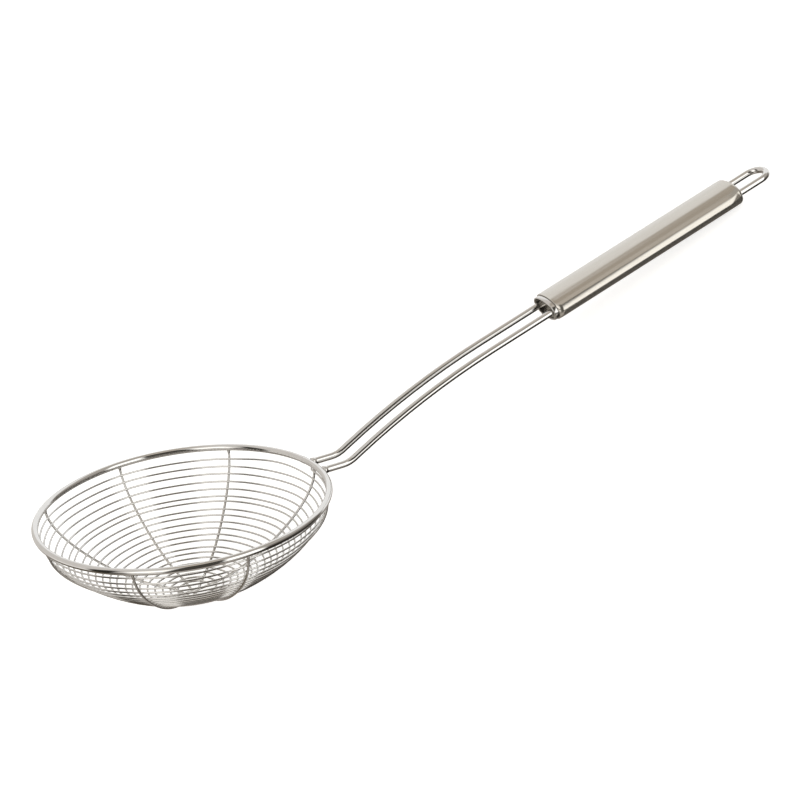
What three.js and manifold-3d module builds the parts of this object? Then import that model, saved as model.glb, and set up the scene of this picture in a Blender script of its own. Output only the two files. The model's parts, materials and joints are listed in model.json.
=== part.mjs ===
// Spiral-wire skimmer. The bowl is one thin wire wound from the rim to an eye at the bottom, lying on
// four ribs that cross under it. The handle is one hairpin wire: its ends meet the rim, its legs run
// through an oval tube with a cap at each end, and its bend stands out behind as the hanging loop.
// Millimetres, +Z up. The skimmer is placed as it lies on a table, on its bowl and its handle's end.

import * as THREE from 'three';
import { mergeVertices } from 'three/addons/utils/BufferGeometryUtils.js';
import Module from 'manifold-3d';

// Bowl
const BOWL_DIAMETER = 140; // over the outside of the rim
const BOWL_DEPTH = 43.7; // from the middle of the rim to the outside of the ribs
const BOWL_SWELL = 2.3; // most that the wall stands out beyond a plain sphere, at its shoulder
const SWELL_POWER = 6; // more moves the shoulder nearer to the rim
const RIM_WIRE = 3.2; // diameter
const RIB_WIRE = 1.2; // diameter
const RIB_BEARINGS = [[1.5, 185], [49, 229.3], [95, 273.2], [140.5, 325]]; // both ends, degrees from the handle
const RIB_DIP_REACH = 12; // a rib dips under the ribs above it within this radius of the bowl's axis
const SPIRAL_WIRE = 0.9; // diameter
const SPIRAL_PITCH = 3.58; // from turn to turn, along the plain sphere
const SPIRAL_EYE = 4; // least radius of the eye, along the bowl's wall
const SPIRAL_END_RUN = 0.2; // straight run of the wire's end, down from the rim
const SPIRAL_END_BEND = 0.6; // radius of the bend that turns that run into the first turn
const WELD_GAP = 0.2; // left between two pieces where they are welded or pressed together

// Handle wire, from the rim to the hanging loop
const HANDLE_WIRE = 3.4; // diameter
const LEG_SPACING = 13; // between the middles of the two legs
const LEAD_LENGTH = 9.2; // level run out from the rim
const KINK_RADIUS = 14; // bend from the level run up to the rise
const RISE_ANGLE = 29; // degrees, just past the kink
const RISE_LENGTH = 2.9; // straight run between the kink and the sweep
const SWEEP_RADIUS = 390; // long curve that eases the rise into the handle's slope
const HANDLE_SLOPE = 17; // degrees
const SHANK_LENGTH = 38.2; // straight run between the sweep and the tube
const LOOP_REACH = 23; // from the tube's rear end to the outside of the loop

// Handle tube and its caps
const TUBE_LENGTH = 112.6;
const TUBE_WIDTH = 21.2;
const TUBE_HEIGHT = 12.6;
const TUBE_WALL = 0.8;
const OVAL_FULLNESS = 2.3; // 2 is an ellipse, more is squarer
const CAP_FIT = 0.2; // between a cap's skirt and the tube's wall
const CAP_WALL = 1; // web and skirt
const CAP_SKIRT = 6; // how far a cap reaches into the tube
const FRONT_LIP = 2.4; // how far the front cap's lip stands out of the tube
const FRONT_RECESS = 3.4; // from the edge of that lip in to the front cap's web
const LIP_STEP = 0.6; // the front lip is this much smaller than the tube, all round
const LIP_WALL = 0.9;
const REAR_FLANGE = 0.8; // thickness of the rear cap's flat face, outside the tube

// Facets
const RIM_STEPS = 72;
const RIM_SIDES = 8;
const WIRE_SIDES = 8;
const SPIRAL_SIDES = 6;
const SPIRAL_STEPS = 24; // in one turn
const RIB_STEPS = 36;
const KINK_STEPS = 6;
const SWEEP_STEPS = 10;
const LOOP_STEPS = 14;
const END_BEND_STEPS = 4;
const OVAL_STEPS = 44;
const HOLE_STEPS = 10;
const UNDERSIDE_STEPS = 400;

// Worked out from the sizes above
const rad = THREE.MathUtils.degToRad;
const rimRadius = (BOWL_DIAMETER - RIM_WIRE) / 2;
const ribDepth = BOWL_DEPTH - RIB_WIRE / 2;
const ribSphere = (rimRadius ** 2 + ribDepth ** 2) / (2 * ribDepth); // plain sphere, without the swell
const sphereHeight = ribSphere - ribDepth; // of its centre, above the rim
const spiralInset = RIB_WIRE / 2 + WELD_GAP + SPIRAL_WIRE / 2; // the spiral lies this far inside the ribs
const spiralSphere = ribSphere - spiralInset;
const rimPolar = Math.asin(rimRadius / ribSphere);
const handleSlope = rad(HANDLE_SLOPE);
const riseAngle = rad(RISE_ANGLE);

const wasm = await Module();
wasm.setup();

const polished = { color: 0xd8d6d1, roughness: 0.16, metalness: 1 };
const satin = { color: 0xb8b1a5, roughness: 0.4, metalness: 1 };

function piece(name, geometry, finish) {
  const mesh = new THREE.Mesh(geometry, new THREE.MeshStandardMaterial(finish));
  mesh.name = name;
  return mesh;
}

// Side outline of the bowl's wall at a polar angle from straight down: a sphere that swells out at its
// shoulder, where the ribs bend down from the rim. x is out from the bowl's axis, y up from the rim.
function wallOutline(polar) {
  const part = Math.abs(polar) / rimPolar;
  const peak = SWELL_POWER ** SWELL_POWER / (SWELL_POWER + 1) ** (SWELL_POWER + 1);
  const radius = ribSphere + (BOWL_SWELL * part ** SWELL_POWER * (1 - part)) / peak;
  return new THREE.Vector2(radius * Math.sin(polar), sphereHeight - radius * Math.cos(polar));
}

// A point of the bowl, set in from the wall towards its hollow side, at a polar angle and a bearing.
function onWall(inset, polar, bearing) {
  const shortStep = 1e-4;
  const upward = wallOutline(polar + shortStep).sub(wallOutline(polar - shortStep)).normalize();
  const point = wallOutline(polar);
  const out = point.x - inset * upward.y;
  return new THREE.Vector3(
    out * Math.cos(bearing), out * Math.sin(bearing), point.y + inset * upward.x);
}

// The polar angle at which the bowl, set in from the wall, has come this far from the middle of the rim.
function polarBelowRim(distance, inset) {
  const rim = onWall(0, rimPolar, 0);
  let polar = rimPolar;
  while (onWall(inset, polar, 0).distanceTo(rim) < distance) {
    polar -= 1e-4;
  }
  return polar;
}

// A closed round wire along a row of points. One flat of its section faces the way that facing points
// at the first point, and the section is carried along without twist.
function wireAlong(points, diameter, sides, facing) {
  const last = points.length - 1;
  const tangents = points.map((point, i) => {
    const before = points[Math.max(i - 1, 0)];
    const after = points[Math.min(i + 1, last)];
    return after.clone().sub(before).normalize();
  });
  const normal = facing.clone().projectOnPlane(tangents[0]).normalize();
  const turn = new THREE.Quaternion();
  const cornerRadius = diameter / 2;
  const positions = [];
  points.forEach((point, i) => {
    if (i > 0) {
      normal.applyQuaternion(turn.setFromUnitVectors(tangents[i - 1], tangents[i]));
      normal.projectOnPlane(tangents[i]).normalize();
    }
    const side = tangents[i].clone().cross(normal);
    for (let k = 0; k < sides; k += 1) {
      const angle = (2 * Math.PI * (k + 0.5)) / sides;
      const corner = point.clone()
        .addScaledVector(normal, cornerRadius * Math.cos(angle))
        .addScaledVector(side, cornerRadius * Math.sin(angle));
      positions.push(corner.x, corner.y, corner.z);
    }
  });
  const faces = [];
  for (let i = 0; i < last; i += 1) {
    for (let k = 0; k < sides; k += 1) {
      const a = i * sides + k;
      const b = i * sides + ((k + 1) % sides);
      faces.push(a, b, b + sides, a, b + sides, a + sides);
    }
  }
  for (let k = 1; k < sides - 1; k += 1) {
    faces.push(0, k + 1, k);
    faces.push(last * sides, last * sides + k, last * sides + k + 1);
  }
  const geometry = new THREE.BufferGeometry();
  geometry.setAttribute('position', new THREE.Float32BufferAttribute(positions, 3));
  geometry.setIndex(faces);
  geometry.computeVertexNormals();
  return geometry;
}

// Rim: a hoop of round wire, butt-welded into a ring.
function rimHoop() {
  return new THREE.TorusGeometry(rimRadius, RIM_WIRE / 2, RIM_SIDES, RIM_STEPS);
}

// A rib: a wire from one side of the rim to the other, along the bowl. Both ends stop at the rim. Each
// rib dips under the ones above it where they cross, at the bottom of the bowl.
function rib(bearings, level) {
  const endPolar = polarBelowRim(RIM_WIRE / 2 + WELD_GAP, 0);
  const fullDip = level * (RIB_WIRE + WELD_GAP);
  const points = [];
  for (let i = 0; i <= RIB_STEPS; i += 1) {
    const along = (2 * i) / RIB_STEPS - 1;
    const bearing = rad(along < 0 ? bearings[0] : bearings[1]);
    const polar = Math.abs(along) * endPolar;
    const point = onWall(0, polar, bearing);
    const nearness = Math.max(0, 1 - (ribSphere * Math.sin(polar)) / RIB_DIP_REACH);
    point.z -= fullDip * THREE.MathUtils.smoothstep(nearness, 0, 1);
    points.push(point);
  }
  const outward = points[0].clone().sub(new THREE.Vector3(0, 0, sphereHeight));
  return wireAlong(points, RIB_WIRE, WIRE_SIDES, outward);
}

// The spiral: one wire that leaves the rim just beside the end of the first rib, crosses that rib, and
// winds down to the eye in whole turns, so that its inner end lies on the same rib.
function spiralPoints() {
  const besideRib = RIB_WIRE / 2 + WELD_GAP + SPIRAL_WIRE / 2 + SPIRAL_END_BEND;
  const start = rad(RIB_BEARINGS[0][0]) + besideRib / rimRadius;
  const seat = RIM_WIRE / 2 + WELD_GAP;
  const reach = seat + SPIRAL_END_RUN + SPIRAL_END_BEND; // from the middle of the rim to the first turn
  const outerArc = polarBelowRim(reach, spiralInset) * spiralSphere;
  const turns = Math.floor((outerArc - SPIRAL_EYE) / SPIRAL_PITCH);
  const at = (turn) => onWall(
    spiralInset, (outerArc - turn * SPIRAL_PITCH) / spiralSphere, start - 2 * Math.PI * turn);
  const shortStep = 0.001; // turns, over which the wire is as good as straight

  const points = [];
  const first = at(0);
  const heading = at(shortStep).sub(first).normalize();
  const toRim = onWall(0, rimPolar, start).sub(first).normalize();
  points.push(first.clone().addScaledVector(toRim, reach - seat));
  for (let i = 0; i <= END_BEND_STEPS; i += 1) {
    const angle = (i / END_BEND_STEPS) * (Math.PI / 2);
    points.push(first.clone()
      .addScaledVector(toRim, SPIRAL_END_BEND * (1 - Math.sin(angle)))
      .addScaledVector(heading, SPIRAL_END_BEND * (1 - Math.cos(angle))));
  }
  for (let i = 1; i <= turns * SPIRAL_STEPS; i += 1) {
    points.push(at(i / SPIRAL_STEPS));
  }
  const inner = points[points.length - 1];
  const innerHeading = at(turns).sub(at(turns - shortStep)).normalize();
  points.push(inner.clone().addScaledVector(innerHeading, SPIRAL_WIRE + RIB_WIRE / 2));
  return points;
}

// The least clear space between two stretches of one wire that lie more than half a turn apart.
function leastGap(points, diameter, apart) {
  let least = Infinity;
  for (let i = 0; i < points.length; i += 1) {
    for (let j = i + apart; j < points.length; j += 1) {
      least = Math.min(least, points[i].distanceTo(points[j]));
    }
  }
  return least - diameter;
}

function spiralWire() {
  const points = spiralPoints();
  const gap = leastGap(points, SPIRAL_WIRE, SPIRAL_STEPS / 2);
  console.log(`spiral_wire: least gap to itself ${gap.toFixed(2)} mm`);
  const outward = points[0].clone().sub(new THREE.Vector3(0, 0, sphereHeight));
  return wireAlong(points, SPIRAL_WIRE, SPIRAL_SIDES, outward);
}

// Side outline of one leg, x out from the bowl's axis and z up from the rim: level run, kink, rise,
// sweep, then straight through the tube to where the loop begins.
function legOutline() {
  const y = LEG_SPACING / 2;
  const rimOutside = rimRadius + RIM_WIRE / 2;
  const innerEdge = y - HANDLE_WIRE / 2; // the rim reaches furthest out along the leg's inner edge
  const point = new THREE.Vector2(Math.sqrt(rimOutside ** 2 - innerEdge ** 2) + WELD_GAP, 0);
  const outline = [point.clone()];
  let heading = 0;
  const run = (length) => {
    point.x += length * Math.cos(heading);
    point.y += length * Math.sin(heading);
    outline.push(point.clone());
  };
  const bend = (radius, angle, steps) => {
    const chord = 2 * radius * Math.sin(Math.abs(angle) / (2 * steps));
    for (let i = 0; i < steps; i += 1) {
      heading += angle / (2 * steps);
      run(chord);
      heading += angle / (2 * steps);
    }
  };
  run(LEAD_LENGTH);
  bend(KINK_RADIUS, riseAngle, KINK_STEPS);
  run(RISE_LENGTH);
  bend(SWEEP_RADIUS, handleSlope - riseAngle, SWEEP_STEPS);
  run(SHANK_LENGTH);
  const tubeFront = point.clone();
  run(TUBE_LENGTH);
  run(LOOP_REACH - HANDLE_WIRE / 2 - LEG_SPACING / 2);
  return { outline, tubeFront };
}

const leg = legOutline();
const handleAxis = new THREE.Vector3(Math.cos(handleSlope), 0, Math.sin(handleSlope));

// The hairpin: out along one leg, round the loop, and back along the other.
function handlePoints() {
  const y = LEG_SPACING / 2;
  const near = leg.outline.map((p) => new THREE.Vector3(p.x, -y, p.y));
  const far = leg.outline.map((p) => new THREE.Vector3(p.x, y, p.y)).reverse();
  const loopStart = leg.outline[leg.outline.length - 1];
  const middle = new THREE.Vector3(loopStart.x, 0, loopStart.y);
  const loop = [];
  for (let i = 1; i < LOOP_STEPS; i += 1) {
    const angle = (i / LOOP_STEPS) * Math.PI;
    loop.push(middle.clone()
      .addScaledVector(handleAxis, y * Math.sin(angle))
      .add(new THREE.Vector3(0, -y * Math.cos(angle), 0)));
  }
  return [...near, ...loop, ...far];
}

function handleWire() {
  return wireAlong(handlePoints(), HANDLE_WIRE, WIRE_SIDES, new THREE.Vector3(0, 0, -1));
}

// The handle's oval, made smaller all round by inset. Its height lies along x and its width along y.
function oval(inset) {
  const halfHeight = TUBE_HEIGHT / 2 - inset;
  const halfWidth = TUBE_WIDTH / 2 - inset;
  const rounded = (value) => Math.sign(value) * Math.abs(value) ** (2 / OVAL_FULLNESS);
  const points = [];
  for (let i = 0; i < OVAL_STEPS; i += 1) {
    const angle = (2 * Math.PI * i) / OVAL_STEPS;
    points.push(new THREE.Vector2(
      halfHeight * rounded(Math.cos(angle)), halfWidth * rounded(Math.sin(angle))));
  }
  return points;
}

// Extrudes an outline with holes, from one height to another along the handle.
function slab(outline, holes, from, to) {
  const shape = new THREE.Shape(outline);
  shape.holes = holes.map((points) => new THREE.Path(points));
  const geometry = new THREE.ExtrudeGeometry(shape, { depth: to - from, bevelEnabled: false });
  return geometry.translate(0, 0, from);
}

function toSolid(geometry) {
  const bare = geometry.clone();
  bare.deleteAttribute('normal');
  bare.deleteAttribute('uv');
  const merged = mergeVertices(bare);
  return new wasm.Manifold(new wasm.Mesh({
    numProp: 3,
    vertProperties: new Float32Array(merged.attributes.position.array),
    triVerts: new Uint32Array(merged.index.array),
  }));
}

function joined(geometries) {
  const solid = geometries.map(toSolid).reduce((whole, next) => whole.add(next));
  const mesh = solid.getMesh();
  const geometry = new THREE.BufferGeometry();
  geometry.setAttribute('position', new THREE.Float32BufferAttribute(mesh.vertProperties, 3));
  geometry.setIndex(Array.from(mesh.triVerts));
  geometry.computeVertexNormals();
  return geometry;
}

// The two holes of a cap, where the legs of the handle wire pass.
function legHoles() {
  const radius = HANDLE_WIRE / 2 / Math.cos(Math.PI / HOLE_STEPS) + WELD_GAP;
  return [-1, 1].map((side) => {
    const circle = new THREE.Path().absarc(0, (side * LEG_SPACING) / 2, radius, 0, 2 * Math.PI);
    return circle.getPoints(HOLE_STEPS / 2).slice(0, -1);
  });
}

// Tube: drawn oval, open at both ends.
function handleTube() {
  return slab(oval(0), [oval(TUBE_WALL)], 0, TUBE_LENGTH);
}

// Front cap: a skirt in the tube, a lip that stands out of the tube, and a web with the legs' holes,
// set back inside the lip.
function frontCap() {
  const plug = TUBE_WALL + CAP_FIT;
  const webFront = FRONT_RECESS - FRONT_LIP;
  const insideLip = -(FRONT_LIP + WELD_GAP) / 2;
  const lip = slab(oval(LIP_STEP), [oval(LIP_STEP + LIP_WALL)], -FRONT_LIP, -WELD_GAP);
  const skirt = slab(oval(plug), [oval(plug + CAP_WALL)], insideLip, CAP_SKIRT);
  const web = slab(oval(plug), legHoles(), webFront, webFront + CAP_WALL);
  return joined([lip, skirt, web]);
}

// Rear cap: a skirt in the tube under a flat flange with the legs' holes.
function rearCap() {
  const plug = TUBE_WALL + CAP_FIT;
  const flange = slab(oval(0), legHoles(), WELD_GAP, WELD_GAP + REAR_FLANGE);
  const skirt = slab(oval(plug), [oval(plug + CAP_WALL)], -CAP_SKIRT, WELD_GAP + REAR_FLANGE / 2);
  return joined([flange, skirt]);
}

// Handle tube and caps, in their own frame: z runs back along the tube from its front end.
const handle = new THREE.Group();
handle.position.set(leg.tubeFront.x, 0, leg.tubeFront.y);
handle.rotation.y = Math.PI / 2 - handleSlope;
handle.add(piece('handle_tube', handleTube(), satin));
handle.add(piece('front_cap', frontCap(), polished));
const rear = piece('rear_cap', rearCap(), satin);
rear.position.z = TUBE_LENGTH;
handle.add(rear);

// The whole skimmer with its rim level, about the middle of the rim, the handle along x.
const level = new THREE.Group();
level.add(piece('rim_hoop', rimHoop(), polished));
RIB_BEARINGS.forEach((bearings, i) => {
  level.add(piece(`rib_${i + 1}`, rib(bearings, i), polished));
});
level.add(piece('spiral_wire', spiralWire(), polished));
level.add(piece('handle_wire', handleWire(), polished));
level.add(handle);

// The slope of the line that touches the bowl's underside from below, and also a round of the given
// radius, whose middle lies along and up from the tube's front end in the handle's own directions.
function slopeUnder(along, up, radius) {
  const middle = new THREE.Vector2(along, up)
    .rotateAround(new THREE.Vector2(), handleSlope)
    .add(leg.tubeFront);
  let slope = 0;
  for (let i = 0; i <= UNDERSIDE_STEPS; i += 1) {
    const under = onWall(-RIB_WIRE / 2, (i / UNDERSIDE_STEPS) * rimPolar, 0);
    const reach = middle.clone().sub(new THREE.Vector2(under.x, under.z));
    slope = Math.max(slope, reach.angle() - Math.asin(radius / reach.length()));
  }
  return slope;
}

// It lies on its bowl and on whichever comes down first: the tube's rear edge or the end of the loop.
const rearEdge = slopeUnder(TUBE_LENGTH + WELD_GAP + REAR_FLANGE, -TUBE_HEIGHT / 2, 0);
const loopEnd = slopeUnder(TUBE_LENGTH + LOOP_REACH - HANDLE_WIRE / 2, 0, HANDLE_WIRE / 2);
level.rotation.y = Math.min(rearEdge, loopEnd);

// The origin is the middle of the box it fills, on the table.
const box = new THREE.Box3().setFromObject(level, true);
level.position.set(-(box.min.x + box.max.x) / 2, -(box.min.y + box.max.y) / 2, -box.min.z);

const skimmer = new THREE.Group();
skimmer.add(level);

export default skimmer;
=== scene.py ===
# A spiral-wire skimmer in stainless steel, lying on a pale studio floor. The pieces come in the order
# in which it is put together: the rim, the ribs, the spiral, the handle wire, then the handle's tube and
# caps. Metres. Wires are drawn in the plane of the rim, with the handle along +X, and then laid down.
import json
import math

import bmesh
import bpy
from mathutils import Matrix, Vector


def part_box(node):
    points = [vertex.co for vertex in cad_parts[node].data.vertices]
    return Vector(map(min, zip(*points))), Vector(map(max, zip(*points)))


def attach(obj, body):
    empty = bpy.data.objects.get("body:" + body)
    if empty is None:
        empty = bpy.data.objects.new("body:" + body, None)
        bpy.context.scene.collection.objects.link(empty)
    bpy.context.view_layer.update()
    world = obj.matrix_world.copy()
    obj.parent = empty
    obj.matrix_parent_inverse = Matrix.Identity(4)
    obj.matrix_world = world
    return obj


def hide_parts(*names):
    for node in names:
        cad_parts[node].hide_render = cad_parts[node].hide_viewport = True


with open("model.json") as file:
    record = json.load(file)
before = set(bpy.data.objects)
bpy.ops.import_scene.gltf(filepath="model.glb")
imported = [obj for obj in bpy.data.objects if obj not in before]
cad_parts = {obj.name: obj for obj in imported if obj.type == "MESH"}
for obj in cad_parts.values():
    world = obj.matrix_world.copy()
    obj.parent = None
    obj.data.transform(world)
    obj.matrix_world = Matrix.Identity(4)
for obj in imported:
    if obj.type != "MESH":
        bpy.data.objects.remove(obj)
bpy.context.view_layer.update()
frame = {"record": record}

# Rim hoop. A round stainless wire, rolled into a ring that holds the bowl's edge. Its ends are
# butt-welded beside the handle, where the weld leaves a fine groove between two upset shoulders, and
# the ring is polished bright with the rest of the wire.
RIM_WIRE = 0.0032
RIM_STEPS = 240
RIM_SIDES = 24
RIM_WELD_BEARING = math.radians(9.5)
RIM_WELD_GROOVE = 0.00022  # depth
RIM_WELD_SHOULDER = 0.00012  # height
RIM_WELD_REACH = 0.0004  # from the groove to each shoulder
HANDLE_SLOPE = math.radians(17)  # of the handle over the plane of the rim
STEEL_LIGHT = (0.80, 0.79, 0.77, 1)
STEEL_DARK = (0.72, 0.705, 0.68, 1)
WIRE_ROUGHNESS = 0.03  # where it is cleanest
SMUDGE_SCALE = 160
SMUDGE_ROUGHNESS = 0.06
DIE_LINE_SCALE = 9000
DIE_LINE_STRETCH = (1, 1, 0.01)  # two ways across the wire, then along it
DIE_LINE_ROUGHNESS = 0.04
DIE_LINE_HEIGHT = 0.06  # to a wave's
WAVE_SCALE = 420
WAVE_STRETCH = (1, 1, 0.25)
WAVE_HEIGHT = 0.00001
MERGE_DISTANCE = 1e-7

handle_end = next(mount for mount in frame["record"]["mounts"] if mount["name"] == "handle_end")
handle_axis = Vector(handle_end["axis"])
rim_low, rim_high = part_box("rim_hoop")
rim_radius = (rim_high.y - rim_low.y - RIM_WIRE) / 2
rim_tilt = HANDLE_SLOPE - math.atan2(handle_axis.z, handle_axis.x)
laid_down = Matrix.Translation((rim_low + rim_high) / 2) @ Matrix.Rotation(rim_tilt, 4, "Y")


class Wired:
    """A socket of a node tree that takes part in Python expressions, or the tree alone."""

    def __init__(self, tree, socket=None):
        self.tree = tree
        self.socket = socket

    def node(self, kind, settings, inputs, output=0):
        """Adds a node, makes its settings, fills or links its inputs and gives one of its outputs."""
        node = self.tree.nodes.new(kind)
        for name, value in settings.items():
            setattr(node, name, value)
        for name, value in inputs.items():
            self.feed(node.inputs[name], value)
        return Wired(self.tree, node.outputs[output])

    def feed(self, target, value):
        if isinstance(value, Wired):
            self.tree.links.new(value.socket, target)
        else:
            target.default_value = value

    def math(self, operation, first, second=0.0):
        return self.node("ShaderNodeMath", {"operation": operation}, {0: first, 1: second})

    def __add__(self, other):
        return self.math("ADD", self, other)

    def __sub__(self, other):
        return self.math("SUBTRACT", self, other)

    def __rsub__(self, other):
        return self.math("SUBTRACT", other, self)

    def __mul__(self, other):
        return self.math("MULTIPLY", self, other)

    __radd__ = __add__
    __rmul__ = __mul__

    def blend(self, first, second):
        """A colour between two others, by this value. Inputs 6 and 7 and output 2 are the colours'."""
        return self.node("ShaderNodeMix", {"data_type": "RGBA"}, {0: self, 6: first, 7: second}, 2)

    def stretched(self, scale):
        """This vector, scaled along each axis."""
        return self.node("ShaderNodeVectorMath", {"operation": "MULTIPLY"}, {0: self, 1: scale})

    def noise(self, scale, detail):
        """Smooth noise at this place, from 0 to 1."""
        return self.node(
            "ShaderNodeTexNoise", {}, {"Vector": self, "Scale": scale, "Detail": detail})


def new_metal(name):
    """An all-metal material and its shader."""
    material = bpy.data.materials.new(name)
    material.use_nodes = True
    shader = material.node_tree.nodes["Principled BSDF"]
    shader.inputs["Metallic"].default_value = 1
    return material, shader


def polished_wire():
    """Bright drawn wire: die lines along it, soft smudges, and the slow waves of a bent wire."""
    material, shader = new_metal("polished_wire")
    nodes = Wired(material.node_tree)
    place = nodes.node("ShaderNodeTexCoord", {}, {}, "Object")
    along = nodes.node("ShaderNodeAttribute", {"attribute_name": "along_wire"}, {}, "Vector")
    die_lines = along.stretched(DIE_LINE_STRETCH).noise(DIE_LINE_SCALE, detail=2)
    waves = along.stretched(WAVE_STRETCH).noise(WAVE_SCALE, detail=1)
    smudges = place.noise(SMUDGE_SCALE, detail=3)
    nodes.feed(shader.inputs["Base Color"], smudges.blend(STEEL_LIGHT, STEEL_DARK))
    roughness = WIRE_ROUGHNESS + SMUDGE_ROUGHNESS * smudges + DIE_LINE_ROUGHNESS * die_lines
    nodes.feed(shader.inputs["Roughness"], roughness)
    height = waves + die_lines * DIE_LINE_HEIGHT
    bump = nodes.node("ShaderNodeBump", {}, {"Distance": WAVE_HEIGHT, "Height": height})
    nodes.feed(shader.inputs["Normal"], bump)
    return material


def make_piece(bm, name, place, material, node):
    """Closes a mesh up, puts it in its place, and lets it ride on the skimmer instead of a node."""
    bmesh.ops.remove_doubles(bm, verts=bm.verts, dist=MERGE_DISTANCE)
    bmesh.ops.recalc_face_normals(bm, faces=bm.faces)
    bmesh.ops.transform(bm, matrix=place, verts=bm.verts)
    mesh = bpy.data.meshes.new(name)
    bm.to_mesh(mesh)
    bm.free()
    mesh.shade_smooth()
    mesh.materials.append(material)
    piece = bpy.data.objects.new(name, mesh)
    bpy.context.scene.collection.objects.link(piece)
    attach(piece, "root")
    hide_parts(node)
    return piece


def bearing_from_weld(point):
    """Angle round the rim from its weld, between -pi and pi."""
    turned = math.atan2(point.y, point.x) - RIM_WELD_BEARING
    return (turned + math.pi) % (2 * math.pi) - math.pi


def rim_mesh():
    """A ring of round wire with a groove and two shoulders at its weld."""
    bm = bmesh.new()
    section = Matrix.Rotation(RIM_WELD_BEARING, 4, "Z") @ Matrix.Translation((rim_radius, 0, 0))
    section = section @ Matrix.Rotation(math.pi / 2, 4, "X")
    bmesh.ops.create_circle(bm, segments=RIM_SIDES, radius=RIM_WIRE / 2, matrix=section)
    bmesh.ops.spin(bm, geom=bm.verts[:] + bm.edges[:], cent=(0, 0, 0), axis=(0, 0, 1), dvec=(0, 0, 0),
                   angle=2 * math.pi, steps=RIM_STEPS, use_merge=True)
    step = 2 * math.pi / RIM_STEPS
    for side in (-1, 1):
        bearing = RIM_WELD_BEARING + side * RIM_WELD_REACH / rim_radius
        across = Vector((-math.sin(bearing), math.cos(bearing), 0))
        near = [f for f in bm.faces if abs(bearing_from_weld(f.calc_center_median())) < step]
        around = dict.fromkeys(element for f in near for element in (*f.verts, *f.edges, f))
        bmesh.ops.bisect_plane(bm, geom=list(around), plane_co=(0, 0, 0), plane_no=across)
    along_wire = bm.verts.layers.float_vector.new("along_wire")
    for vert in bm.verts:
        turned = bearing_from_weld(vert.co)
        middle = Vector((vert.co.x, vert.co.y, 0)).normalized() * rim_radius
        out = vert.co - middle
        radial = out.dot(middle) / rim_radius
        vert[along_wire] = (radial, out.z, rim_radius * turned)
        from_weld = abs(turned) * rim_radius
        if from_weld < RIM_WELD_REACH / 2:  # on the groove's ring
            vert.co -= out.normalized() * RIM_WELD_GROOVE
        elif from_weld < RIM_WELD_REACH * 1.5:  # on a shoulder's ring
            vert.co += out.normalized() * RIM_WELD_SHOULDER
    return bm


bright_wire = polished_wire()
make_piece(rim_mesh(), "rim_ring", laid_down, bright_wire, "rim_hoop")

# Ribs. Four thin stainless wires that cross under the bowl from rim to rim and carry the spiral. Each
# is bent on a former, dips under the others at the bottom, and is spot-welded to the inside of the rim,
# where its end spreads into a small blob.
RIB_WIRE = 0.0012
RIB_SIDES = 12
RIB_STEPS = 72
RIB_CROWDING = 1.5  # more puts its steps closer together near its ends
RIB_BEARINGS = ((1.5, 185), (49, 229.3), (95, 273.2), (140.5, 325))  # both ends, degrees from the handle
RIB_DIP_REACH = 0.012  # from the bowl's axis
RIB_DIP = 0.00135  # of each rib under the one above it
RIB_END_SINK = 0.0004  # how far an end melts into the rim
RIB_BLOB = 1.5  # width of an end, to the wire's own
RIB_BLOB_LENGTH = 0.0016
BOWL_DEPTH = 0.0437  # from the middle of the rim to the outside of the ribs
BOWL_SWELL = 0.0023  # most that the wall stands out beyond a plain sphere, at its shoulder
SWELL_POWER = 6  # more moves the shoulder nearer to the rim
SHORT_ANGLE = 1e-4  # radians, for slopes and searches along the wall

rib_depth = BOWL_DEPTH - RIB_WIRE / 2
rib_sphere = (rim_radius ** 2 + rib_depth ** 2) / (2 * rib_depth)
sphere_height = rib_sphere - rib_depth
rim_polar = math.asin(rim_radius / rib_sphere)


def wall_outline(polar):
    """The bowl's wall from the side, out and up, at an angle from straight down."""
    share = abs(polar) / rim_polar
    peak = SWELL_POWER ** SWELL_POWER / (SWELL_POWER + 1) ** (SWELL_POWER + 1)
    radius = rib_sphere + BOWL_SWELL * share ** SWELL_POWER * (1 - share) / peak
    return Vector((radius * math.sin(polar), sphere_height - radius * math.cos(polar)))


def bowl_point(inset, polar, bearing):
    """A point of the bowl, set in from its wall, at an angle from straight down and a bearing."""
    upward = (wall_outline(polar + SHORT_ANGLE) - wall_outline(polar - SHORT_ANGLE)).normalized()
    out, up = wall_outline(polar) + Vector((-upward.y, upward.x)) * inset
    return Vector((out * math.cos(bearing), out * math.sin(bearing), up))


def polar_below_rim(distance, inset):
    """The angle at which the bowl, set in from its wall, is this far from the middle of the rim."""
    rim_here = bowl_point(0, rim_polar, 0)
    polar = rim_polar
    while (bowl_point(inset, polar, 0) - rim_here).length < distance:
        polar -= SHORT_ANGLE
    return polar


def ease(value):
    """A smooth step from 0 to 1."""
    value = min(max(value, 0), 1)
    return value * value * (3 - 2 * value)


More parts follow.
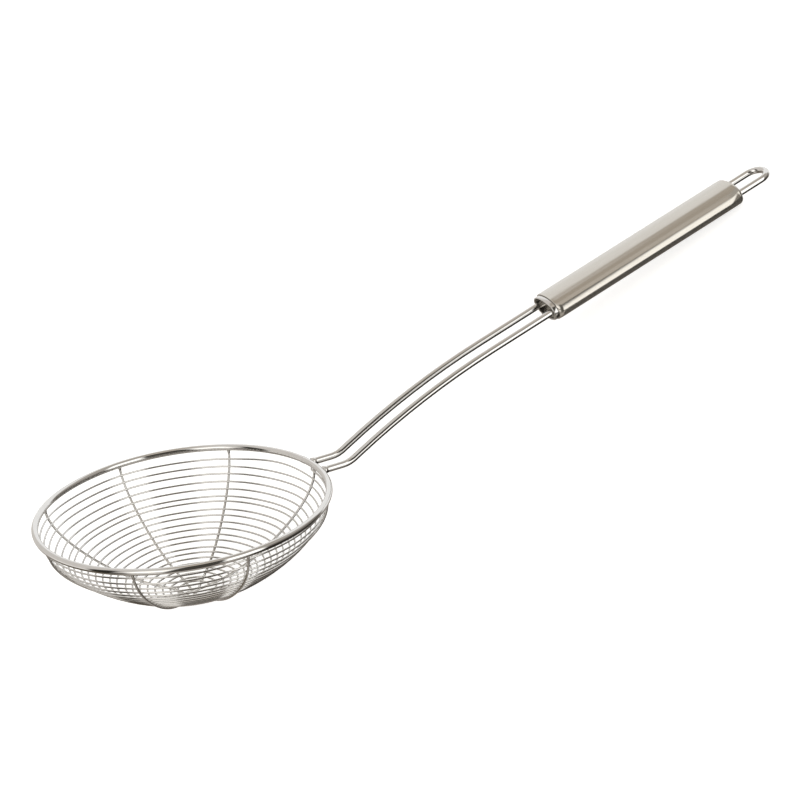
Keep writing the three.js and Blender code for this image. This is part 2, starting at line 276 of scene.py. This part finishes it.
def wire_mesh(points, radii, sides):
    """A round wire through a row of points, closed at both ends."""
    curve = bpy.data.curves.new("wire", "CURVE")
    curve.dimensions = "3D"
    curve.bevel_depth = 1
    curve.bevel_resolution = sides // 2 - 2  # which gives the wire that many sides
    spline = curve.splines.new("POLY")
    spline.points.add(len(points) - 1)
    for knot, point, radius in zip(spline.points, points, radii):
        knot.co = (*point, 1)
        knot.radius = radius
    drawn = bpy.data.objects.new("wire", curve)
    bm = bmesh.new()
    bm.from_mesh(drawn.to_mesh())
    drawn.to_mesh_clear()
    bpy.data.objects.remove(drawn)
    bpy.data.curves.remove(curve)
    along_wire = bm.verts.layers.float_vector.new("along_wire")
    bm.verts.ensure_lookup_table()
    length = 0
    for i, point in enumerate(points):
        length += (point - points[i - 1]).length if i else 0
        across = (points[min(i + 1, len(points) - 1)] - points[max(i - 1, 0)]).to_track_quat("Z", "X")
        for vert in bm.verts[i * sides:(i + 1) * sides]:
            out = across.inverted() @ (vert.co - point)
            vert[along_wire] = (out.x, out.y, length)
    bmesh.ops.holes_fill(bm, edges=[edge for edge in bm.edges if edge.is_boundary], sides=sides)
    return bm


def rib_path(bearings, level):
    """Points and radii of a rib, from its blob on one side of the rim to its blob on the other."""
    end_polar = polar_below_rim(RIM_WIRE / 2 - RIB_END_SINK, 0)
    points = []
    radii = []
    for i in range(RIB_STEPS + 1):
        along = 1 - 2 * i / RIB_STEPS
        polar = (1 - (1 - abs(along)) ** RIB_CROWDING) * end_polar
        point = bowl_point(0, polar, math.radians(bearings[0 if along > 0 else 1]))
        nearness = 1 - rib_sphere * math.sin(polar) / RIB_DIP_REACH
        point.z -= level * RIB_DIP * ease(nearness)
        from_end = (end_polar - polar) * rib_sphere
        swell = 1 + (RIB_BLOB - 1) * ease(1 - from_end / RIB_BLOB_LENGTH)
        points.append(point)
        radii.append(RIB_WIRE / 2 * swell)
    return points, radii


for level, bearings in enumerate(RIB_BEARINGS):
    points, radii = rib_path(bearings, level)
    make_piece(wire_mesh(points, radii, RIB_SIDES), f"rib_wire_{level + 1}", laid_down,
               bright_wire, f"rib_{level + 1}")

# Spiral. One thin stainless wire wound from the rim down to an eye at the bottom of the bowl, inside the
# ribs and spot-welded to each of them. Between two ribs a turn pulls a little tighter, the turns lie a
# little unevenly, and the first one bows out towards the rim beside the handle.
SPIRAL_WIRE = 0.0009
SPIRAL_SIDES = 8
SPIRAL_PITCH = 0.00358  # along the plain sphere
SPIRAL_EYE = 0.004  # least radius of the eye
SPIRAL_END_RUN = 0.0002  # straight run of the wire's end, down from the rim
SPIRAL_END_BEND = 0.0006  # radius of the bend that turns it into the first turn
SPIRAL_BEND_STEPS = 6
SPIRAL_OVERRUN = RIB_WIRE  # of its inner end, over the rib that it ends on
SPIRAL_TIP_LENGTH = SPIRAL_WIRE / 8
SPIRAL_TIP_RADIUS = SPIRAL_WIRE / 3
SPIRAL_TIGHTER = 0.0003  # how far a turn pulls in between two ribs
SPIRAL_SETTLING = 1 / 8  # turns from each end to where it pulls in fully
SPIRAL_UNEVEN = (0, 0, 1, -2, -3, -5, 5, -2, 2, 0, 1, 0, 3, -4, 0)  # lift of each turn, in units
SPIRAL_UNEVEN_UNIT = 0.0001
SPIRAL_UNEVEN_FROM = 0.83  # turns from the outer end to where this is so
SPIRAL_BOW = 0.0009  # of the first turn, towards the rim
SPIRAL_BOW_TURNS = (0.5, 1.5)  # from the outer end, where the bow may lie
SPIRAL_BOW_SECTOR = (math.radians(1.5), math.radians(49))
SPIRAL_STEPS = 96  # in one turn
SHORT_TURN = 0.001  # for the heading of the outer end
WELD_GAP = 0.0002  # between the rim and a wire that meets it end on
WELD_SINK = 0.0002  # how far a weld melts the two wires together

spiral_inset = RIB_WIRE / 2 + SPIRAL_WIRE / 2 - WELD_SINK
spiral_sphere = rib_sphere - spiral_inset
rim_seat = RIM_WIRE / 2 + WELD_GAP
spiral_reach = rim_seat + SPIRAL_END_RUN + SPIRAL_END_BEND  # from the middle of the rim to the first turn
beside_rib = RIB_WIRE / 2 + WELD_GAP + SPIRAL_WIRE / 2 + SPIRAL_END_BEND
spiral_start = math.radians(RIB_BEARINGS[0][0]) + beside_rib / rim_radius
outer_arc = polar_below_rim(spiral_reach, spiral_inset) * spiral_sphere
spiral_turns = math.floor((outer_arc - SPIRAL_EYE) / SPIRAL_PITCH)
turn_lifts = [*SPIRAL_UNEVEN, *[0] * spiral_turns]  # the turns past the list lie evenly
rib_ends = sorted(math.radians(bearing) % (2 * math.pi) for pair in RIB_BEARINGS for bearing in pair)


def between_ribs(bearing):
    """How far a bearing lies between the ribs on both sides of it, from 0 to 1."""
    bearing %= 2 * math.pi
    below = max((end for end in rib_ends if end <= bearing), default=rib_ends[-1] - 2 * math.pi)
    above = min((end for end in rib_ends if end > bearing), default=rib_ends[0] + 2 * math.pi)
    return (bearing - below) / (above - below)


def uneven_lift(turn):
    """How far the spiral lies above its even course, a number of turns from its outer end."""
    whole, part = divmod(max(turn - SPIRAL_UNEVEN_FROM, 0), 1)
    here, after = turn_lifts[int(whole):int(whole) + 2]
    return (here + (after - here) * ease(part)) * SPIRAL_UNEVEN_UNIT


def spiral_point(turn):
    """The middle of the spiral's wire, a number of turns from its outer end."""
    bearing = spiral_start - 2 * math.pi * turn
    arc = outer_arc - SPIRAL_PITCH * turn + uneven_lift(turn)
    free = math.sin(math.pi * between_ribs(bearing)) ** 2
    settled = ease(turn / SPIRAL_SETTLING) * ease((spiral_turns - turn) / SPIRAL_SETTLING)
    on_bowed_turn = SPIRAL_BOW_TURNS[0] < turn < SPIRAL_BOW_TURNS[1]
    if on_bowed_turn and SPIRAL_BOW_SECTOR[0] < bearing % (2 * math.pi) < SPIRAL_BOW_SECTOR[1]:
        arc += SPIRAL_BOW * free
    else:
        arc -= SPIRAL_TIGHTER * free * settled
    return bowl_point(spiral_inset, arc / spiral_sphere, bearing)


def spiral_path():
    """Points of the spiral: up at the rim, round its bend, then turn by turn down to the eye."""
    first = spiral_point(0)
    heading = (spiral_point(SHORT_TURN) - first).normalized()
    to_rim = (bowl_point(0, rim_polar, spiral_start) - first).normalized()
    points = [first + to_rim * (spiral_reach - RIM_WIRE / 2 + RIB_END_SINK),
              first + to_rim * (spiral_reach - RIM_WIRE / 2)]
    for i in range(SPIRAL_BEND_STEPS + 1):
        angle = i / SPIRAL_BEND_STEPS * math.pi / 2
        points.append(first + to_rim * SPIRAL_END_BEND * (1 - math.sin(angle))
                      + heading * SPIRAL_END_BEND * (1 - math.cos(angle)))
    points += [spiral_point(i / SPIRAL_STEPS) for i in range(1, spiral_turns * SPIRAL_STEPS + 1)]
    run = (points[-1] - points[-2]).normalized()
    points.append(points[-1] + run * SPIRAL_OVERRUN)
    points.append(points[-1] + run * SPIRAL_TIP_LENGTH)
    return points


points = spiral_path()
radii = [SPIRAL_WIRE / 2] * (len(points) - 1) + [SPIRAL_TIP_RADIUS]
make_piece(wire_mesh(points, radii, SPIRAL_SIDES), "spiral_winding", laid_down,
           bright_wire, "spiral_wire")

# Handle wire. One stainless rod bent like a hairpin. Its two ends are butt-welded to the outside of the
# rim, its legs kink up and sweep back side by side through the tube, and its bend stands out behind as
# the loop that the skimmer hangs by.
HANDLE_WIRE = 0.0034
HANDLE_SIDES = 24
LEG_SPACING = 0.013
LEAD_LENGTH = 0.0092
KINK_RADIUS = 0.014
RISE_ANGLE = math.radians(29)
RISE_LENGTH = 0.0029
SWEEP_RADIUS = 0.39
SHANK_LENGTH = 0.0382
TUBE_LENGTH = 0.1126
LOOP_REACH = 0.023  # from the tube's rear end to the outside of the loop
BEND_STEP = math.radians(1.5)
LOOP_STEPS = 40
LEG_END_SINK = 0.0006  # how far a leg's end melts into the rim
LEG_BEAD = 1.16  # width of the weld round a leg's end, to the wire's own
LEG_BEAD_LENGTH = 0.0016
LEG_BEAD_STATIONS = (0.25, 0.5, 0.75, 1, 1.5)  # along the leg, to the bead's length


def leg_side_view():
    """One leg from the rim to its loop, as x and z, and the place where it enters the tube."""
    inner_edge = (LEG_SPACING - HANDLE_WIRE) / 2
    x = math.sqrt((rim_radius + RIM_WIRE / 2) ** 2 - inner_edge ** 2) + WELD_GAP
    z = 0
    heading = 0
    outline = [(x, z)]
    loop_run = LOOP_REACH - HANDLE_WIRE / 2 - LEG_SPACING / 2
    runs = ((LEAD_LENGTH, 0), (KINK_RADIUS * RISE_ANGLE, RISE_ANGLE), (RISE_LENGTH, 0),
            (SWEEP_RADIUS * (RISE_ANGLE - HANDLE_SLOPE), HANDLE_SLOPE - RISE_ANGLE), (SHANK_LENGTH, 0),
            (TUBE_LENGTH, 0), (loop_run, 0))
    corners = []
    for length, turn in runs:
        steps = max(math.ceil(abs(turn) / BEND_STEP), 1)
        half = turn / steps / 2
        chord = length / steps * (math.sin(half) / half if half else 1)
        for _ in range(steps):
            heading += half
            x += chord * math.cos(heading)
            z += chord * math.sin(heading)
            heading += half
            outline.append((x, z))
        corners.append((x, z))
    tube_start = corners[-3]  # before the runs through the tube and out to the loop
    return outline, tube_start


leg_outline, (tube_x, tube_z) = leg_side_view()


def hairpin_path():
    """Points and radii of the handle wire: in at one weld, round the loop and back to the other weld."""
    y = LEG_SPACING / 2
    leg_x = leg_outline[0][0]
    end = [(leg_x - WELD_GAP - LEG_END_SINK, 0), (leg_x, 0)]
    end += [(leg_x + LEG_BEAD_LENGTH * share, 0) for share in LEG_BEAD_STATIONS]
    side = end + leg_outline[1:]
    loop_x, loop_z = leg_outline[-1]
    loop = []
    for i in range(1, LOOP_STEPS):
        angle = math.pi * i / LOOP_STEPS
        along = y * math.sin(angle)
        loop.append(Vector((loop_x + along * math.cos(HANDLE_SLOPE), -y * math.cos(angle),
                            loop_z + along * math.sin(HANDLE_SLOPE))))
    near = [Vector((x, -y, z)) for x, z in side]
    far = [Vector((x, y, z)) for x, z in reversed(side)]
    points = near + loop + far
    radii = []
    for point in points:
        from_end = point.x - leg_x
        swell = 1 + (LEG_BEAD - 1) * ease(1 - from_end / LEG_BEAD_LENGTH)
        radii.append(HANDLE_WIRE / 2 * swell)
    return points, radii


points, radii = hairpin_path()
make_piece(wire_mesh(points, radii, HANDLE_SIDES), "hairpin_wire", laid_down,
           bright_wire, "handle_wire")

# Handle tube. Stainless tube, pressed to a flat oval between two fuller ends and given a satin finish
# lengthwise. Its front edge is broken by a fine bevel and its rear end is rolled in over the rear cap.
TUBE_WIDTH = 0.0212  # at its ends
TUBE_HEIGHT = 0.0126
TUBE_SPREAD = 0.0024  # how much wider it is between its ends
TUBE_SPREAD_FRONT = 0.0025  # from its front end to its full width
TUBE_SPREAD_REAR = 0.007  # from its rear end to its full width
TUBE_SPREAD_STEPS = 8
TUBE_WALL = 0.0008
OVAL_FULLNESS = 2.3  # at its ends: 2 is an ellipse, more is squarer
OVAL_STEPS = 96
EDGE_BREAK = 0.00015
REAR_ROUND = 0.0019  # radius of the rounded rear end
REAR_FLANGE = 0.0008
TUBE_ROUND_STEPS = 8  # of the tube's own part of the rounding
SHARP_ANGLE = math.radians(35)  # an edge that turns more is shaded sharp
SATIN_LIGHT = (0.695, 0.665, 0.61, 1)
SATIN_DARK = (0.615, 0.58, 0.525, 1)
SATIN_METALLIC = 0.83  # a satin finish scatters the rest
SATIN_ROUGHNESS = 0.08  # where it is smoothest
GRAIN_SCALE = 5200
GRAIN_STRETCH = (1, 1, 0.012)  # two ways across the tube, then along it
GRAIN_COLOUR = 0.6  # its share in the change of colour
GRAIN_ROUGHNESS = 0.09
GRAIN_HEIGHT = 0.000006
MOTTLE_SCALE = 260
MOTTLE_STRETCH = (1, 1, 0.3)
MOTTLE_COLOUR = 0.4
MOTTLE_ROUGHNESS = 0.05

# In the handle's own place z runs back along the tube from its front end, x points down and y across.
in_handle = laid_down @ Matrix.Translation((tube_x, 0, tube_z))
in_handle = in_handle @ Matrix.Rotation(math.pi / 2 - HANDLE_SLOPE, 4, "Y")
rear_face = TUBE_LENGTH + WELD_GAP + REAR_FLANGE


def edges_of(ring):
    """The edges of a ring of vertices, in the same order each run."""
    return list(dict.fromkeys(edge for vert in ring for edge in vert.link_edges))


def oval_ring(bm, frame_here):
    """The handle's oval, one unit high and wide each way, set in a frame."""
    ring = bmesh.ops.create_circle(bm, segments=OVAL_STEPS, radius=1)["verts"]
    for vert in ring:
        for axis in (0, 1):
            vert.co[axis] = math.copysign(abs(vert.co[axis]) ** (2 / OVAL_FULLNESS), vert.co[axis])
    bmesh.ops.transform(bm, matrix=frame_here, verts=ring)
    return edges_of(ring)


def oval_frame(along, inset):
    """A place along the handle for the oval, made smaller all round."""
    size = Matrix.Diagonal((TUBE_HEIGHT / 2 - inset, TUBE_WIDTH / 2 - inset, 1, 1))
    return Matrix.Translation((0, 0, along)) @ size


def rear_rounding(from_along, to_along, steps):
    """Stations along and inset, round the handle's rear end."""
    middle = rear_face - REAR_ROUND
    stations = []
    for i in range(steps + 1):
        along = from_along + (to_along - from_along) * i / steps
        lift = min(max((along - middle) / REAR_ROUND, 0), 1)
        stations.append((along, REAR_ROUND * (1 - math.sqrt(1 - lift * lift))))
    return stations


def sweep(bm, edges, frames):
    """Extrudes a ring of edges from each frame to the next, and gives the last ring."""
    for here, there in zip(frames, frames[1:]):
        new = bmesh.ops.extrude_edge_only(bm, edges=edges)["geom"]
        verts = [element for element in new if isinstance(element, bmesh.types.BMVert)]
        ends = set(verts)
        edges = [element for element in new
                 if isinstance(element, bmesh.types.BMEdge) and ends.issuperset(element.verts)]
        bmesh.ops.transform(bm, matrix=there @ here.inverted(), verts=verts)
    return edges


def swept_oval(stations):
    """A mesh that follows the oval from station to station, with its first and its last ring."""
    frames = [oval_frame(*station) for station in stations]
    bm = bmesh.new()
    first = oval_ring(bm, frames[0])
    return bm, first, sweep(bm, first, frames)


def spread_share(along):
    """How far the tube has come to its full width at a place along it, from 0 to 1."""
    from_front = (along - EDGE_BREAK) / TUBE_SPREAD_FRONT
    from_rear = (rear_face - REAR_ROUND - along) / TUBE_SPREAD_REAR
    left = 1 - min(max(min(from_front, from_rear), 0), 1)
    return 1 - left * left


def tube_mesh():
    """The tube's wall: back along its outside, over the rolled end and forward along its inside."""
    rear_start = rear_face - REAR_ROUND
    shares = [i / TUBE_SPREAD_STEPS for i in range(1, TUBE_SPREAD_STEPS + 1)]
    between = [EDGE_BREAK + TUBE_SPREAD_FRONT * share for share in shares]
    between += [rear_start - TUBE_SPREAD_REAR * share for share in reversed(shares)]
    outside = [(0, EDGE_BREAK), (EDGE_BREAK, 0)] + [(along, 0) for along in between]
    outside += rear_rounding(rear_start, TUBE_LENGTH, TUBE_ROUND_STEPS)
    inside = [(TUBE_LENGTH, TUBE_WALL)] + [(along, TUBE_WALL) for along in reversed(between)]
    inside += [(EDGE_BREAK, TUBE_WALL), (0, TUBE_WALL - EDGE_BREAK)]
    bm, first, last = swept_oval(outside + inside)
    bmesh.ops.bridge_loops(bm, edges=first + last)
    for vert in bm.verts:  # towards a plain ellipse, and wider, between the ends
        share = spread_share(vert.co.z)
        for axis, half in enumerate((TUBE_HEIGHT / 2, TUBE_WIDTH / 2)):
            vert.co[axis] *= (abs(vert.co[axis]) / half) ** (share * (OVAL_FULLNESS / 2 - 1))
        vert.co.y *= 1 + share * TUBE_SPREAD / TUBE_WIDTH
    return bm


def satin_tube():
    """Satin tube: fine lengthwise grain over a faint mottle, a little darker and rougher in the grain."""
    material, shader = new_metal("satin_tube")
    shader.inputs["Metallic"].default_value = SATIN_METALLIC
    nodes = Wired(material.node_tree)
    place = nodes.node("ShaderNodeTexCoord", {}, {}, "Object")
    turn = in_handle.to_3x3().inverted().to_euler()
    turned = nodes.node("ShaderNodeMapping", {}, {"Vector": place, "Rotation": turn})
    grain = turned.stretched(GRAIN_STRETCH).noise(GRAIN_SCALE, detail=3)
    mottle = turned.stretched(MOTTLE_STRETCH).noise(MOTTLE_SCALE, detail=2)
    darker = grain * GRAIN_COLOUR + mottle * MOTTLE_COLOUR
    nodes.feed(shader.inputs["Base Color"], darker.blend(SATIN_LIGHT, SATIN_DARK))
    roughness = SATIN_ROUGHNESS + GRAIN_ROUGHNESS * grain + MOTTLE_ROUGHNESS * mottle
    nodes.feed(shader.inputs["Roughness"], roughness)
    bump = nodes.node("ShaderNodeBump", {}, {"Distance": GRAIN_HEIGHT, "Height": grain})
    nodes.feed(shader.inputs["Normal"], bump)
    return material


tube = make_piece(tube_mesh(), "grip_tube", in_handle, satin_tube(), "handle_tube")
tube.data.set_sharp_from_angle(angle=SHARP_ANGLE)

# Front cap. Stainless sheet pressed into a shallow cup and pushed into the tube's front end. Its round
# lip stands out of the tube, and its floor, set back inside the lip, has a hole for each leg.
LIP_STEP = 0.0006  # the lip is this much smaller than the tube, all round
LIP_WALL = 0.0009
FRONT_LIP = 0.0024
FRONT_RECESS = 0.0034
CAP_WALL = 0.001
CAP_FIT = 0.0002
CAP_SKIRT = 0.006
HOLE_STEPS = 28
HOLE_GAP = 0.0002
LIP_ROUND_STEPS = 6
CAP_LIGHT = (0.78, 0.765, 0.74, 1)
CAP_DARK = (0.66, 0.645, 0.615, 1)
CAP_ROUGHNESS = 0.08  # where it is brightest
DRAG_SCALE = 700
DRAG_ROUGHNESS = 0.14
DRAG_HEIGHT = 0.00001
PIT_SCALE = 2600
PIT_HEIGHT = 0.4  # to the drag's

cap_inset = TUBE_WALL + CAP_FIT


def floor_with_holes(bm, outer_edge, inner_edge, along, depth):
    """Closes a cap with a floor of some thickness that has the legs' two holes."""
    edges = list(outer_edge)
    inner_edges = list(inner_edge)
    holes = []
    for side in (-1, 1):
        middle = Matrix.Translation((0, side * LEG_SPACING / 2, along))
        ring = bmesh.ops.create_circle(
            bm, segments=HOLE_STEPS, radius=HANDLE_WIRE / 2 + HOLE_GAP, matrix=middle)["verts"]
        holes.append(edges_of(ring))
        edges += holes[-1]
    bmesh.ops.triangle_fill(bm, use_beauty=True, use_dissolve=False, edges=edges)
    for hole in holes:
        inner_edges += sweep(bm, hole, [Matrix.Identity(4), Matrix.Translation((0, 0, depth))])
    bmesh.ops.triangle_fill(bm, use_beauty=True, use_dissolve=False, edges=inner_edges)


def front_cap_mesh():
    """The cup: out over the skirt, round the lip, back down inside it and across the floor."""
    floor_along = FRONT_RECESS - FRONT_LIP
    stations = [(floor_along + CAP_WALL, cap_inset + CAP_WALL), (CAP_SKIRT, cap_inset + CAP_WALL)]
    stations += [(CAP_SKIRT, cap_inset), (-WELD_GAP, cap_inset), (-WELD_GAP, LIP_STEP)]
    for i in range(LIP_ROUND_STEPS + 1):
        angle = math.pi * i / LIP_ROUND_STEPS
        half = LIP_WALL / 2
        stations.append((-FRONT_LIP + half - half * math.sin(angle),
                         LIP_STEP + half - half * math.cos(angle)))
    stations += [(-WELD_GAP, LIP_STEP + LIP_WALL), (floor_along, LIP_STEP + LIP_WALL)]
    bm, first, last = swept_oval(stations)
    floor_with_holes(bm, last, first, floor_along, CAP_WALL)
    return bm


def pressed_cap():
    """Pressed sheet, bright in places and duller where the press has dragged it."""
    material, shader = new_metal("pressed_cap")
    nodes = Wired(material.node_tree)
    place = nodes.node("ShaderNodeTexCoord", {}, {}, "Object")
    drag = place.noise(DRAG_SCALE, detail=4)
    pits = place.noise(PIT_SCALE, detail=2)
    nodes.feed(shader.inputs["Base Color"], drag.blend(CAP_LIGHT, CAP_DARK))
    nodes.feed(shader.inputs["Roughness"], CAP_ROUGHNESS + DRAG_ROUGHNESS * drag)
    height = drag + pits * PIT_HEIGHT
    bump = nodes.node("ShaderNodeBump", {}, {"Distance": DRAG_HEIGHT, "Height": height})
    nodes.feed(shader.inputs["Normal"], bump)
    return material


cap_metal = pressed_cap()
front = make_piece(front_cap_mesh(), "front_cup", in_handle, cap_metal, "front_cap")
front.data.set_sharp_from_angle(angle=SHARP_ANGLE)

# Rear cap. The same sheet, pressed into a flat end that carries on the tube's rounding and closes it
# round the two legs where they come out to the hanging loop.
CAP_ROUND_STEPS = 12  # of the cap's part of the rounding


def rear_cap_mesh():
    """The end: out over the skirt, back to the tube's rounding, over it and across the flat face."""
    start = TUBE_LENGTH + WELD_GAP / 2
    skirt_end = TUBE_LENGTH - CAP_SKIRT
    stations = [(rear_face - CAP_WALL, cap_inset + CAP_WALL), (skirt_end, cap_inset + CAP_WALL)]
    stations += [(skirt_end, cap_inset), (start, cap_inset)]
    stations += rear_rounding(start, rear_face, CAP_ROUND_STEPS)
    bm, first, last = swept_oval(stations)
    floor_with_holes(bm, last, first, rear_face, -CAP_WALL)
    return bm


rear = make_piece(rear_cap_mesh(), "rear_end", in_handle, cap_metal, "rear_cap")
rear.data.set_sharp_from_angle(angle=SHARP_ANGLE)

# Camera. A long lens from the side of the bowl, a little above it, turned so that the handle rises to
# the upper right.
CAMERA_LENS = 112.5  # millimetres, on a sensor 36 mm wide
CAMERA_BEARING = math.radians(-23.890)
CAMERA_HEIGHT = math.radians(21.489)
CAMERA_ROLL = math.radians(-7.0185)
CAMERA_DISTANCE = 1.15540
CAMERA_ASIDE = -0.10062
CAMERA_ABOVE = -0.04917

back = Vector((math.sin(CAMERA_BEARING) * math.cos(CAMERA_HEIGHT),
               -math.cos(CAMERA_BEARING) * math.cos(CAMERA_HEIGHT), math.sin(CAMERA_HEIGHT)))
level_right = Vector((math.cos(CAMERA_BEARING), math.sin(CAMERA_BEARING), 0))
level_up = back.cross(level_right)
right = level_right * math.cos(CAMERA_ROLL) + level_up * math.sin(CAMERA_ROLL)
up = level_up * math.cos(CAMERA_ROLL) - level_right * math.sin(CAMERA_ROLL)
stand = back * CAMERA_DISTANCE - right * CAMERA_ASIDE - up * CAMERA_ABOVE
looking = Matrix((right, up, back)).transposed().to_4x4()

camera_data = bpy.data.cameras.new("camera")
camera_data.lens = CAMERA_LENS
camera = bpy.data.objects.new("camera", camera_data)
camera.matrix_world = laid_down @ Matrix.Translation(stand) @ looking
bpy.context.scene.collection.objects.link(camera)
bpy.context.scene.camera = camera

# Studio. A white room with a soft box on each side of the camera, dark gaps beside them and a dark side
# to the right: this is what the polished steel shows. To the camera itself the surroundings are white.
# Azimuths run from the camera to the right, elevations up, in degrees.
STUDIO_PITCH = math.radians(22)  # of the camera over the studio's level
STUDIO_SOFTNESS = 4  # of a panel's edges
BACKGROUND = (1, 1, 1, 1)
ALL_ROUND = (-200, 200)  # both past the end, so that no edge shows
TOP = 120
BOTTOM = -120
STUDIO_PANELS = (
    # name, azimuths, elevations, colour
    ("ceiling", ALL_ROUND, (57, TOP), (0.47, 0.42, 0.36, 1)),
    ("front_ceiling", (-44, 39), (57, TOP), (0.62, 0.57, 0.51, 1)),
    ("right_ceiling", (45, 130), (50, TOP), (0.45, 0.43, 0.40, 1)),
    ("far_floor", ALL_ROUND, (BOTTOM, -10), (0.36, 0.33, 0.30, 1)),
    ("left_wall", (-152, -40), (-28, 71), (0.72, 0.69, 0.66, 1)),
    ("left_strip", (-113, -59), (-29, -11), (0.98, 0.95, 0.92, 1)),
    ("right_upper", (62, 132), (30, 57), (0.48, 0.45, 0.42, 1)),
    ("right_mid", (62, 128), (-4, 30), (0.22, 0.20, 0.18, 1)),
    ("right_dark", (60, 126), (-60, -1), (0.035, 0.032, 0.028, 1)),
    ("right_low", (120, 172), (-55, -29), (0.11, 0.10, 0.09, 1)),
    ("left_gap_high", (-68, -55), (16, 40), (0.03, 0.028, 0.022, 1)),
    ("left_gap_low", (-70, -49), (-45, 22), (0.03, 0.028, 0.022, 1)),
    ("left_box", (-40, -8), (-9, 52), (1.55, 1.52, 1.47, 1)),
    ("left_top", (-58, -7), (38, 65), (0.74, 0.72, 0.69, 1)),
    ("front_low", (-51, 87), (-29, -10), (0.015, 0.012, 0.009, 1)),
    ("left_skirt", (-38, -8), (-42, -20), (1.1, 1.07, 1.03, 1)),
    ("camera_gap", (-9, 32), (-49, 62), (0.07, 0.064, 0.055, 1)),
    ("right_box", (32.5, 63), (-12, 48), (1.62, 1.61, 1.57, 1)),
    ("right_skirt", (38, 58), (-42, -22), (0.6, 0.57, 0.53, 1)),
    ("front_floor", (-51, 49), (BOTTOM, -58), (0.5, 0.47, 0.43, 1)),
    ("left_floor", (-140, -66), (BOTTOM, -36), (0.14, 0.12, 0.09, 1)),
)

view_right = laid_down.to_3x3() @ right
view_up = laid_down.to_3x3() @ up
view_back = laid_down.to_3x3() @ back
studio_up = view_up * math.cos(STUDIO_PITCH) + view_back * math.sin(STUDIO_PITCH)
studio_front = view_back * math.cos(STUDIO_PITCH) - view_up * math.sin(STUDIO_PITCH)

world = bpy.data.worlds.new("studio")
world.use_nodes = True
bpy.context.scene.world = world
nodes = Wired(world.node_tree)
way = nodes.node("ShaderNodeTexCoord", {}, {}, "Generated")


def along_axis(axis):
    """How far the way runs along an axis."""
    return nodes.node("ShaderNodeVectorMath", {"operation": "DOT_PRODUCT"}, {0: way, 1: axis}, "Value")


def past(value, edge):
    """0 before an edge and 1 past it, with a soft change."""
    inputs = {"Value": value, "From Min": edge - STUDIO_SOFTNESS, "From Max": edge + STUDIO_SOFTNESS}
    return nodes.node("ShaderNodeMapRange", {"interpolation_type": "SMOOTHSTEP"}, inputs)


def within(value, low_high):
    """1 between two edges and 0 outside them."""
    low, high = low_high
    return past(value, low) * (1 - past(value, high))


degrees = 180 / math.pi
azimuth = nodes.math("ARCTAN2", along_axis(view_right), along_axis(studio_front)) * degrees
elevation = nodes.math("ARCSINE", along_axis(studio_up)) * degrees
light = BACKGROUND
for name, azimuths, elevations, colour in STUDIO_PANELS:
    panel = within(azimuth, azimuths) * within(elevation, elevations)
    light = panel.blend(light, colour)
to_camera = nodes.node("ShaderNodeLightPath", {}, {}, "Is Camera Ray")
seen = to_camera.blend(light, BACKGROUND)
nodes.feed(world.node_tree.nodes["Background"].inputs["Color"], seen)

# Floor. A wide pale sheet under the skimmer, white to the camera apart from the skimmer's soft shadow.
FLOOR_REACH = 3  # from its middle to each side
FLOOR_COLOUR = (0.8, 0.8, 0.79, 1)
FLOOR_GLOW = 0.72  # seen by the camera alone

floor_mesh = bpy.data.meshes.new("floor")
bm = bmesh.new()
bmesh.ops.create_grid(bm, x_segments=1, y_segments=1, size=FLOOR_REACH)
bm.to_mesh(floor_mesh)
bm.free()
floor = bpy.data.objects.new("floor", floor_mesh)
bpy.context.scene.collection.objects.link(floor)
floor.visible_glossy = False

sheet = bpy.data.materials.new("pale_sheet")
sheet.use_nodes = True
sheet.node_tree.nodes.remove(sheet.node_tree.nodes["Principled BSDF"])
nodes = Wired(sheet.node_tree)
paper = nodes.node("ShaderNodeBsdfDiffuse", {}, {"Color": FLOOR_COLOUR})
glow = nodes.node("ShaderNodeEmission", {}, {"Strength": FLOOR_GLOW})
both = nodes.node("ShaderNodeAddShader", {}, {0: paper, 1: glow})
to_camera = nodes.node("ShaderNodeLightPath", {}, {}, "Is Camera Ray")
mixed = nodes.node("ShaderNodeMixShader", {}, {0: to_camera, 1: paper, 2: both})
nodes.feed(sheet.node_tree.nodes["Material Output"].inputs["Surface"], mixed)
floor_mesh.materials.append(sheet)

bpy.context.scene.view_settings.view_transform = "Standard"
